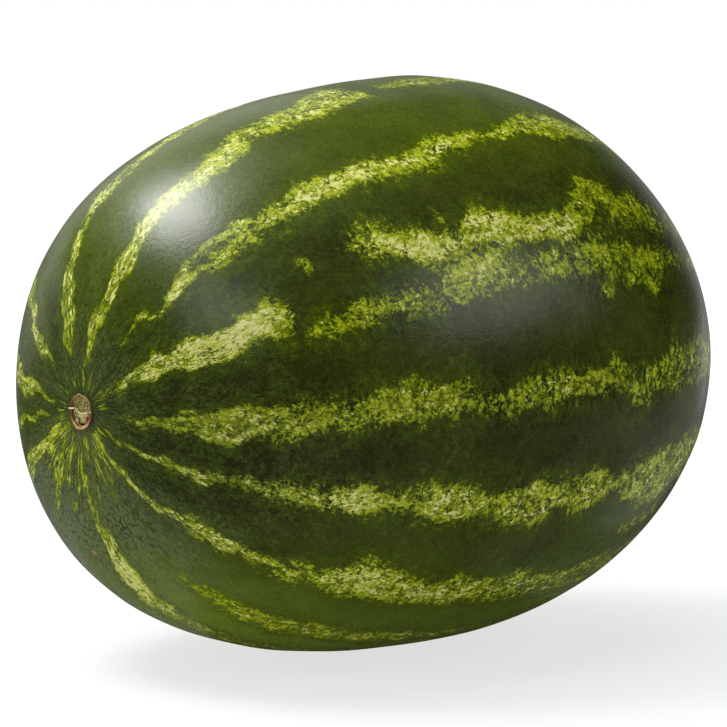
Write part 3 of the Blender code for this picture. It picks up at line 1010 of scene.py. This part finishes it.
def makeSkinMaterial():
    material, tree, shader = newMaterial("watermelonSkin")
    parts = {}
    for name in ("cover", "cream", "halo", "shade", "bloomAndSheen", "fan", "ground", "fromStem"):
        parts[name] = field(tree, name).outputs["Fac"]
    straight = field(tree, "flow").outputs["Vector"]
    flow = stirred(tree, straight, *skin["warp"])
    ragged = stirred(tree, flow, *skin["rag"])

    def crisp(place, settings):
        return around(tree, grain(tree, place, *settings[:-2]), *settings[-2:])

    def mixed(start, mix):
        # start plus the parts that the mix names
        return addUp(tree, start, *[(parts[name], weight) for name, weight in skin[mix].items()])

    def tinted(base, level, name):
        # base, with the colour of this name where its rise lets it in
        return blend(tree, rise(tree, level, *skin[name + "Rise"]), base, colour(*skin[name]))

    def times(first, *others):
        for other in others:
            first = calc(tree, "MULTIPLY", first, other)
        return first

    for name, settings in skin["noises"].items():
        parts[name] = crisp(flow, settings)
    parts["patches"] = crisp(ragged, skin["patches"])
    parts["plates"], parts["outlines"] = cells(tree, ragged, *skin["plate"])
    parts["chips"] = cells(tree, ragged, *skin["chip"])[0]
    weave = stirred(tree, field(tree, "weave").outputs["Vector"], *skin["netBend"])
    weave = stirred(tree, weave, *skin["netRag"])
    parts["scales"], parts["net"] = cells(tree, weave, *skin["scale"])
    nearStem = rise(tree, parts["fromStem"], *skin["netReach"], 1.0, 0.0)

    # bare skin: slow tone, a green glow beside the stripes, waxy bloom with a painted sheen, fine freckles
    # and veins
    light = calc(tree, "ADD", mixed(parts["shade"], "lightMix"), 0.0, clamp=True)
    base = blend(tree, light, colour(*skin["deep"]), colour(*skin["lifted"]))
    base = tinted(base, mixed(parts["halo"], "glowMix"), "glow")
    base = tinted(base, mixed(parts["bloomAndSheen"], "waxAndSheenMix"), "bloomAndSheen")
    freckles = placeGroup(tree, freckleGroup, straight, skin["freckleSize"], skin["freckleContrast"])
    base = blend(tree, 1.0, base, freckles["Factor"], "MULTIPLY")
    broken = rise(tree, mixed(parts["slow"], "veinMix"), *skin["veinRise"])
    lowSide = calc(tree, "MULTIPLY_ADD", parts["bloomAndSheen"], 0.7, 0.42, clamp=True)
    netHere = times(parts["net"], nearStem)
    base = blend(tree, times(netHere, times(broken, lowSide)), base, colour(*skin["vein"]))
    base = tinted(base, mixed(parts["ground"], "groundMix"), "ground")

    # streaks that fan out from the scars
    combed = rise(tree, grain(tree, flow, skin["combSize"], 3.0, 0.66, 0.0, (1, 1, 0.7)), 0.42, 0.62)
    strands = rise(tree, grain(tree, straight, skin["strandSize"], 3.0, 0.6, 0.0, (1, 1, 0.8)), 0.38, 0.6)
    parts["streaks"] = times(combed, calc(tree, "MULTIPLY_ADD", strands, 0.65, 0.45), parts["fan"])

    # the stripe itself, from its ragged edge to its middle, and calmer where it is full or near the stem
    calm = times(rise(tree, parts["cover"], 0.4, 1.0, 1.0, 0.8), rise(tree, parts["halo"], 0.2, 0.7))
    calm = times(calm, calc(tree, "MULTIPLY_ADD", nearStem, -0.5, 1.0))
    parts["mottle"] = times(mixed(0.0, "mottleMix"), calm)
    parts["plated"] = times(mixed(0.0, "plateMix"), nearStem, rise(tree, parts["cover"], 0.0, 0.3))
    level = mixed(skin["levelStart"], "levelMix")
    parts["level"] = level
    stripe = ramp(tree, level, skin["stripeTones"])
    stripe = blend(tree, times(parts["outlines"], 0.25), stripe, colour(*skin["outline"]))
    tone = blend(tree, rise(tree, level, *skin["stripeRise"]), base, stripe)
    spine = grain(tree, flow, skin["spineSize"], 3.0, 0.6, 0.3, (1, 1, 0.4))
    offSpine = calc(tree, "ABSOLUTE", calc(tree, "SUBTRACT", spine, 0.5))
    parts["line"] = rise(tree, offSpine, 0.0, skin["spineWidth"], 1.0, 0.0)
    creamLevel = mixed(skin["creamStart"], "creamMix")
    chosen = rise(tree, parts["chips"], -0.3, 0.3)
    pale = blend(tree, chosen, colour(*skin["paleGreen"]), colour(*skin["cream"]))
    tone = blend(tree, rise(tree, creamLevel, *skin["creamRise"]), tone, pale)
    lines = times(netHere, rise(tree, level, *skin["netToneRise"]))
    tone = blend(tree, lines, tone, colour(*skin["netTone"]))

    # a few dark specks, and the one reddish blemish low on the stem end
    specks = crackle(tree, straight, "F1", scale=1 / skin["speckSpacing"])
    tone = tinted(tone, specks, "speck")
    along, turn = skin["blemishPlace"]
    wide = fruitRadius / mm
    centre = (wide * math.cos(math.radians(turn)), wide * math.sin(math.radians(turn)), along)
    offset = vectors(tree, "MULTIPLY", vectors(tree, "SUBTRACT", ragged, centre), skin["blemishShape"])
    tone = tinted(tone, lengthOf(tree, offset), "blemish")

    rough = calc(tree, "MULTIPLY_ADD", freckles["Height"], 0.1, skin["roughness"])
    height = mixed(freckles["Height"], "reliefMix")
    finish(tree, shader, tone, rough, skin["specular"], height, skin["bumpStrength"], skin["bumpDepth"] * mm)
    return material


rindPiece = makeRind(makeSkinMaterial())
print("rind made,", len(rindPiece.data.polygons), "faces")

# The scar where the stem came off. Places on it are millimetres to the right and up, as the camera sees them.
stemScar = {
    "step": 0.12,
    "sides": 210,
    "outerRadius": 7.4,
    "outerEdge": (0.35, 0.7),       # how wide the outer edge is, and how far it goes down
    "underside": -2.7,
    # size of the whole, and how much longer it is up and down, and more upwards
    "stretch": (1.03, 0.04, 0.045),
    "rimRadius": 6.35,
    "rimWaves": [(3, 0.4, 0.16), (7, 1.9, 0.09), (12, 0.0, 0.05)],
    "rimWidth": (0.34, 0.84),       # at the top and at the bottom
    "rimHeight": (0.45, 1.25),
    "rimWidening": 2.4,             # how late it widens towards the bottom
    "rimSquareness": 2.6,
    "rimInside": 0.45,
    "crumble": (0.9, 0.16),         # size and share of the unevenness, here and below
    "notchTurn": 268,
    "notchWidth": 5.0,              # degrees
    "notchDepth": 0.85,
    "grooveRadius": 7.15,
    "grooveWidth": 0.28,
    "grooveDepth": 0.35,
    "faceDepth": 0.2,
    "floorDepth": 0.95,
    "shelf": [
        (-7.6, 1.0), (-6.0, 1.3), (-4.4, 0.9), (-2.5, 0.0), (-0.8, -0.7), (1.5, -0.4), (4.2, 0.1), (6.0, 0.6),
    ],
    "shelfEdge": (-0.25, 0.15),
    "shelfHeight": 0.75,
    "shelfWidth": 0.38,
    "shelfCrumble": 0.3,
    "shelfFading": (2.6, 5.0, 0.6),       # where it flattens on the right, and how much
    "hollow": (2.5, -3.6, 2.0, 0.6),      # place, reach and depth of the hollow, its reddish brown partly painted shade
    "hollowStretch": 0.75,
    "hole": (-3.6, -3.3, 0.6, 0.5),       # and of the small one beside it, painted dark as its shade
    "crescent": (-1.3, -5.25, 2.6, 0.55, 0.5),
    "crescentBend": 0.12,
    "pits": (0.75, 0.13),
    "tangle": (0.62, 0.42),
    "dotTurns": (8, 22, 36, 50, 64),      # a row of raised fibre ends inside the upper right of the rim, painted pale partly as highlights
    "dotRow": (0.3, 4.6, 5.3),            # its shift to the right, and its reach across and up
    "dotSize": (0.32, 0.34),
    "dotHeight": 0.3,
    "lilac": (2.3, 0.1, 0.55),            # place, slant and width of the greyish streak
    "lilacStart": (0.2, 1.4),             # how far above the shelf it starts
}
scarColours = {
    "rimTop": (188, 158, 92),
    "rimSide": (140, 100, 54),
    # the rim's tan, lighter low down, partly as a painted highlight
    "rimLowHighlight": (214, 172, 118),
    # dark brown, painted shade in the groove round the rim, on its inner wall and in its cracks
    "rimDarkShade": (70, 44, 18),
    "face": (132, 108, 54),
    # painted shade in the pits of the face
    "faceGreen": (140, 142, 76),
    "facePitShade": (64, 54, 20),
    "fibre": (252, 244, 188),
    "fibreGreen": (186, 184, 112),
    "lilac": (158, 134, 116),
    # reddish brown of the low hollow, partly painted shade
    "rustAndShade": (150, 72, 34),
    # dark red brown of the crescent gap under the rim, partly painted shadow
    "wineAndShadow": (118, 28, 20),
    # near black, painted shade in the hollows among the fibres
    "hole": (34, 22, 6),
}


def scarStretch(turn):
    whole, both, upwards = stemScar["stretch"]
    return whole + both * np.sin(turn) ** 2 + upwards * np.sin(turn)


def shelfPlace(side):
    sides, rises = np.array(stemScar["shelf"]).T
    return np.interp(side, sides, rises)


def roughness(side, rise, size, seed, octaves=4):
    # fractal unevenness of about -1 to 1, one value for each place
    flat = zip(np.ravel(side) / size, np.ravel(rise) / size)
    values = [noise.fractal((x, y, seed), 0.8, 2.1, octaves) for x, y in flat]
    return np.array(values).reshape(np.shape(side))


def bell(value, width, power=2):
    return np.exp(-((np.abs(value) / width) ** power))


def stemScarRelief(side, rise):
    # height in millimetres, the share of each kind of tissue, and masks for the painted shade in its hollows
    s = stemScar
    turn = np.arctan2(rise, side)
    reach = np.hypot(side, rise) / scarStretch(turn)
    low = (1 - np.sin(turn)) / 2
    crumbleSize, crumbleShare = s["crumble"]
    crumble = roughness(side, rise, crumbleSize, 3.0)

    # the rim
    waving = sum(share * np.sin(count * turn + phase) for count, phase, share in s["rimWaves"])
    rimRadius = s["rimRadius"] + waving
    rimWidth = np.interp(low ** s["rimWidening"], (0, 1), s["rimWidth"])
    rimHeight = np.interp(low, (0, 1), s["rimHeight"])
    notch = bell(fromTurn(np.degrees(turn), s["notchTurn"]), s["notchWidth"])
    rimHeight = rimHeight * (1 - s["notchDepth"] * notch)
    inside = smoothStep(0, s["rimInside"], rimRadius - rimWidth * 0.5 - reach)
    rim = bell(reach - rimRadius, rimWidth * 0.62, s["rimSquareness"])
    height = rim * rimHeight * (1 + crumbleShare * crumble)
    height -= s["grooveDepth"] * bell(reach - s["grooveRadius"], s["grooveWidth"])

    # the upper face, the lower floor and the shelf between them
    overShelf = rise - shelfPlace(side)
    upper = inside * smoothStep(*s["shelfEdge"], overShelf)
    lower = inside * (1 - smoothStep(*s["shelfEdge"], overShelf))
    shelf = inside * bell(overShelf, s["shelfWidth"])
    x, y, size, hollowDepth = s["hollow"]
    off = np.hypot(side - x, (rise - y) * s["hollowStretch"])
    hollow = lower * (1 - smoothStep(size * 0.5, size, off))
    x, y, size, holeDepth = s["hole"]
    hole = lower * (1 - smoothStep(size * 0.4, size, np.hypot(side - x, rise - y)))
    x, y, wide, tall, crescentDepth = s["crescent"]
    bent = y + s["crescentBend"] * (side - x) ** 2
    crescent = lower * (1 - smoothStep(0.5, 1.0, np.hypot((side - x) / wide, (rise - bent) / tall)))
    pitSize, pitDepth = s["pits"]
    pits = roughness(side, rise, pitSize, 7.0)
    tangleSize, tangleDepth = s["tangle"]
    tangle = roughness(side * 0.55 + rise * 0.5, rise * 0.45 - side * 0.6, tangleSize, 12.0, 3)
    height += upper * (-s["faceDepth"] + pitDepth * pits)
    height += lower * (-s["floorDepth"] + tangleDepth * tangle * (1 - hollow * 0.7) * (1 - crescent))
    start, end, share = s["shelfFading"]
    fading = 1 - smoothStep(start, end, side) * share
    height += shelf * s["shelfHeight"] * (1 + s["shelfCrumble"] * crumble) * fading
    height -= hollow * hollowDepth + hole * holeDepth + crescent * crescentDepth

    # the fibre ends, painted pale partly as highlights
    shift, across, up = s["dotRow"]
    dots = 0
    for dotTurn in np.radians(s["dotTurns"]):
        dotSide = bell(side - across * math.cos(dotTurn) - shift, s["dotSize"][0])
        dots = dots + dotSide * bell(rise - up * math.sin(dotTurn), s["dotSize"][1])
    height += upper * dots * s["dotHeight"]
    place, slant, width = s["lilac"]
    lilac = upper * bell(side - place - slant * rise, width) * smoothStep(*s["lilacStart"], overShelf)
    return height, {
        "rim": np.maximum(rim * (1 - inside * 0.7), 2.3 * inside * (1 - inside)),
        "low": low,
        "face": upper,
        "fibre": np.clip(shelf * 1.2 + dots * upper + lower * (1 - hollow) * (1 - crescent), 0, 1),
        "rustAndShade": hollow,
        "lilac": lilac,
        # the crescent gap, its red brown partly painted shadow
        "wineAndShadow": crescent,
        # how deep the pits and hollows lie, for the painted shade in them
        "pitShade": np.clip(0.5 - np.where(lower > 0.5, 0.65 * tangle, 0.85 * pits) + 0.4 * hole, 0, 1) * inside,
    }


def newCorkMaterial(name, size, contrast):
    # a new material, the place on it in millimetres, and the cork grain there
    material, tree, shader = newMaterial(name)
    place = scaled(tree, put(tree, "TexCoord").outputs["Object"], 1 / mm)
    return material, tree, shader, place, placeGroup(tree, corkGroup, place, size, contrast)


def finishCork(tree, shader, cork, tone, rough, height, strength, depth=0.15):
    tone = blend(tree, 1.0, tone, cork["Factor"], "MULTIPLY")
    finish(tree, shader, tone, rough, 0.3, height, strength, depth * mm)


def makeStemScarMaterial():
    material, tree, shader, place, cork = newCorkMaterial("stemScar", 0.8, 1.1)
    fine = around(tree, grain(tree, place, 0.35, 3.0, 0.6), 0.35, 0.65)
    coarse = around(tree, grain(tree, place, 1.5, 2.0, 0.6), 0.35, 0.65)
    named = {}
    for name in ("rim", "low", "face", "fibre", "rustAndShade", "lilac", "wineAndShadow", "pitShade"):
        named[name] = field(tree, name).outputs["Fac"]
    shades = {name: colour(*value) for name, value in scarColours.items()}
    # the rim's tan, browner at the sides and lighter at the bottom, where the lightening is partly a painted
    # highlight
    rim = blend(tree, rise(tree, named["low"], 0.08, 0.35), shades["rimTop"], shades["rimSide"])
    rim = blend(tree, rise(tree, named["low"], 0.6, 0.95), rim, shades["rimLowHighlight"])
    # painted shade in the rim's cracks
    rim = blend(tree, calc(tree, "MULTIPLY", cork["Cracks"], 0.3), rim, shades["rimDarkShade"])
    mossy = rise(tree, addUp(tree, fine, (coarse, 0.9)), -0.4, 0.4)
    face = blend(tree, mossy, shades["face"], shades["faceGreen"])
    face = blend(tree, calc(tree, "MULTIPLY", named["lilac"], 0.8), face, shades["lilac"])
    # painted shade in the face's pits
    face = blend(tree, rise(tree, named["pitShade"], 0.5, 0.95), face, shades["facePitShade"])
    fibre = blend(tree, rise(tree, fine, -0.4, 0.15), shades["fibreGreen"], shades["fibre"])
    worn = rise(tree, addUp(tree, coarse, (fine, 0.7)), -0.1, 0.35, 0.0, 0.75)
    fibre = blend(tree, worn, fibre, shades["face"])
    # painted shade in the hollows among the fibres
    fibre = blend(tree, rise(tree, named["pitShade"], 0.52, 0.72), fibre, shades["hole"])
    # each tissue in turn, where its field rises between these levels
    # the dark brown left between the tissues is painted shade in the groove and on the rim's inner wall
    tone = shades["rimDarkShade"]
    layers = {
        "rim": (rim, 0.25, 0.75),
        "face": (face, 0.3, 0.7),
        "fibre": (fibre, 0.25, 0.6),
        "rustAndShade": (shades["rustAndShade"], 0.1, 0.5),
        "wineAndShadow": (shades["wineAndShadow"], 0.1, 0.5),
    }
    for name, (layer, low, high) in layers.items():
        tone = blend(tree, rise(tree, named[name], low, high), tone, layer)
    rough = rise(tree, named["wineAndShadow"], 0.0, 1.0, 0.8, 0.45)
    finishCork(tree, shader, cork, tone, rough, addUp(tree, cork["Height"], (fine, 0.4)), 0.5)
    return material


def makeStemScar(material):
    radius = stemScar["outerRadius"]
    reach, turn = scarGrid(stemScar["step"], radius, stemScar["sides"])
    side = reach * scarStretch(turn) * np.cos(turn)
    rise = reach * scarStretch(turn) * np.sin(turn)
    height, shares = stemScarRelief(side, rise)
    edge, drop = stemScar["outerEdge"]
    height -= drop * smoothStep(radius - edge, radius, reach)
    middle, middleShares = stemScarRelief(np.zeros(1), np.zeros(1))
    piece = newScar("stemScar", stemAxis, side, rise, height, middle, stemScar["underside"], material)
    for name, values in shares.items():
        addField(piece, name, np.concatenate([values.ravel(), middleShares[name], [0.0]]))
    return piece


def strandMesh(paths, sides=5):
    # thin tapered tubes along lists of (point, radius), closed at both ends
    points = []
    faces = []
    for path in paths:
        first = len(points)
        centres = [Vector(point) for point, _ in path]
        for index, (centre, (_, radius)) in enumerate(zip(centres, path)):
            ahead = centres[min(index + 1, len(path) - 1)] - centres[max(index - 1, 0)]
            across = ahead.cross(Vector((0.31, 0.52, 0.79))).normalized()
            over = ahead.cross(across).normalized()
            for side in range(sides):
                turn = 2 * math.pi * side / sides
                points.append(centre + (across * math.cos(turn) + over * math.sin(turn)) * radius)
        points.append(centres[0] - (centres[1] - centres[0]) * 0.3)
        points.append(centres[-1] + (centres[-1] - centres[-2]) * 0.3)
        for face in ringFaces(len(path), sides):
            faces.append(tuple(first + corner for corner in face))
    return np.array([list(point) for point in points]), faces


# Torn strands on the stem scar: how many of each kind, and the ranges that each value is drawn from.
stemFibres = {
    "seed": 5,
    "steps": 8,
    "thickness": (0.12, 0.3),      # millimetres
    "taper": 0.75,
    # over the left of the rim
    "tuft": 22,
    "tuftStart": ((-5.4, -4.4), (0.7, 1.3)),
    "tuftEnd": ((-8.2, -7.3), (0.5, 1.4)),
    "tuftArch": (1.0, 1.7),
    "tuftLift": ((0.1, 0.4), (0.3, 0.8)),
    # along the shelf
    "shelf": 44,
    "shelfSpan": (-6.4, 2.5),
    "shelfLength": (1.2, 3.0),
    "shelfScatter": (-0.3, 0.25),
    "shelfSag": (-0.35, 0.35),
    "shelfLift": (0.05, 0.3),
    # down from it
    "tangle": 46,
    "tangleSpan": (-4.6, 2.0),
    "tangleStart": (0.1, 1.2),
    "tangleSpread": (-0.8, 0.9),
    "tangleLength": (0.8, 3.0),
    "tangleBend": ((-0.8, 0.8), (-0.4, 0.4)),
    "tangleLift": (0.05, 0.5),
    "tangleReach": 5.0,            # no end is further than this from the middle
    # short ones on the face above
    "bristle": 12,
    "bristleTurn": (0.15, 3.0),
    "bristleReach": (0.8, 4.8),
    "bristleSpread": (-0.6, 0.6),
    "bristleLift": (0.15, (0, 0.15)),
    "bristleGap": 0.4,             # none is nearer to the shelf than this
}


def makeStemFibres(material):
    s = stemFibres
    draw = random.Random(s["seed"])
    paths = []

    def one(span):
        return draw.uniform(*span)

    def pair(spans):
        return one(spans[0]), one(spans[1])

    def halfWay(start, end):
        return (start[0] + end[0]) / 2, (start[1] + end[1]) / 2

    def addStrand(start, bend, end, lift, endLift=0.0):
        # a strand that arches from start to end over bend
        thickness = one(s["thickness"])
        path = []
        for share in np.linspace(0, 1, s["steps"]):
            weights = np.array([(1 - share) ** 2, 2 * share * (1 - share), share ** 2])
            side, rise = (weights @ np.array([start, bend, end]))[:, None]
            height, _ = stemScarRelief(side, rise)
            out = height + lift * math.sin(math.pi * share) + endLift * share ** 2
            radius = thickness * (1 - s["taper"] * share) * 0.5
            path.append((onEnd(side, rise, out, stemAxis)[0], radius * mm))
        paths.append(path)

    for _ in range(s["tuft"]):
        start = pair(s["tuftStart"])
        end = pair(s["tuftEnd"])
        bend = (halfWay(start, end)[0], one(s["tuftArch"]))
        addStrand(start, bend, end, *pair(s["tuftLift"]))
    for _ in range(s["shelf"]):
        left = one(s["shelfSpan"])
        right = left + one(s["shelfLength"])
        middle = (left + right) / 2
        start = (left, shelfPlace(left) + one(s["shelfScatter"]))
        end = (right, shelfPlace(right) + one(s["shelfScatter"]))
        addStrand(start, (middle, shelfPlace(middle) + one(s["shelfSag"])), end, one(s["shelfLift"]))
    for _ in range(s["tangle"]):
        left = one(s["tangleSpan"])
        start = (left, shelfPlace(left) - one(s["tangleStart"]))
        end = (left * 0.55 + one(s["tangleSpread"]), start[1] - one(s["tangleLength"]))
        shift = pair(s["tangleBend"])
        bend = (start[0] + shift[0], halfWay(start, end)[1] + shift[1])
        if math.hypot(*end) < s["tangleReach"]:
            addStrand(start, bend, end, one(s["tangleLift"]))
    for _ in range(s["bristle"]):
        turn = one(s["bristleTurn"])
        reach = one(s["bristleReach"])
        start = (reach * math.cos(turn), reach * math.sin(turn))
        if start[1] < shelfPlace(start[0]) + s["bristleGap"]:
            continue
        end = (start[0] + one(s["bristleSpread"]), start[1] + one(s["bristleSpread"]))
        lift, endLift = s["bristleLift"]
        addStrand(start, halfWay(start, end), end, lift, one(endLift))
    return newPiece("tornStemFibres", *strandMesh(paths), material, "cork")


def makeFibreMaterial():
    material, tree, shader, place, cork = newCorkMaterial("driedFibre", 0.6, 0.5)
    patch = grain(tree, place, 1.6, 2.0, 0.5)
    pale = colour(*scarColours["fibre"])
    tone = blend(tree, rise(tree, patch, 0.5, 0.68), pale, colour(*scarColours["fibreGreen"]))
    rough = calc(tree, "MULTIPLY_ADD", patch, 0.3, 0.55)
    finishCork(tree, shader, cork, tone, rough, cork["Height"], 0.4, 0.05)
    return material


scarPiece = makeStemScar(makeStemScarMaterial())
fibrePiece = makeStemFibres(makeFibreMaterial())
print("stem scar made,", len(scarPiece.data.polygons) + len(fibrePiece.data.polygons), "faces")


# The small dry scar where the flower fell off, at the far end.
blossomScar = {
    "radius": 3.7,
    "step": 0.1,
    "sides": 120,
    "height": 0.45,
    "wall": (1.0, 0.2),       # how far from the edge it starts to fall, and ends
    "outerEdge": (0.4, 0.5),  # how wide the outer edge is, and how far it goes down
    "underside": -0.7,
    "ragged": (0.25, 0.6),    # reach and size of the edge's unevenness
    "ringRadius": 2.7,
    "ringHeight": 0.3,
    "ringWidth": 0.35,
    "pip": 0.55,
    "pipHeight": 0.35,
    "crumble": (0.14, 0.7),
    "crumbleEdge": (2.8, 3.4),
    "brownEdge": (2.7, 3.3),
    "tan": (150, 128, 84),
    "brown": (82, 58, 30),
    "pale": (176, 166, 132),
}


def makeBlossomMaterial():
    material, tree, shader, place, cork = newCorkMaterial("blossomScar", 0.7, 1.0)
    tan, brown, pale = (colour(*blossomScar[name]) for name in ("tan", "brown", "pale"))
    patch = grain(tree, place, 1.2, 3.0, 0.6)
    tone = blend(tree, rise(tree, patch, 0.4, 0.62), tan, pale)
    tone = blend(tree, calc(tree, "MULTIPLY", cork["Cracks"], 0.7), tone, brown)
    tone = blend(tree, field(tree, "edge").outputs["Fac"], tone, brown)
    rough = calc(tree, "MULTIPLY_ADD", patch, 0.3, 0.6)
    finishCork(tree, shader, cork, tone, rough, cork["Height"], 0.5)
    return material


def makeBlossomScar(material):
    b = blossomScar
    radius = b["radius"]
    reach, turn = scarGrid(b["step"], radius, b["sides"])
    side = reach * np.cos(turn)
    rise = reach * np.sin(turn)
    amount, size = b["ragged"]
    ragged = reach + amount * roughness(np.cos(turn), np.sin(turn), size, 21.0)
    start, end = b["wall"]
    height = b["height"] * (1 - smoothStep(radius - start, radius - end, ragged))
    height += b["ringHeight"] * bell(ragged - b["ringRadius"], b["ringWidth"])
    height += b["pipHeight"] * bell(reach, b["pip"])
    amount, size = b["crumble"]
    height += amount * roughness(side, rise, size, 22.0) * (1 - smoothStep(*b["crumbleEdge"], reach))
    edge, drop = b["outerEdge"]
    height -= drop * smoothStep(radius - edge, radius, reach)
    middle = b["height"] + b["pipHeight"]
    piece = newScar("blossomScar", blossomAxis, side, rise, height, middle, b["underside"], material)
    addField(piece, "edge", np.concatenate([smoothStep(*b["brownEdge"], ragged).ravel(), [0.0, 1.0]]))
    return piece


blossomPiece = makeBlossomScar(makeBlossomMaterial())
print("blossom scar made,", len(blossomPiece.data.polygons), "faces")
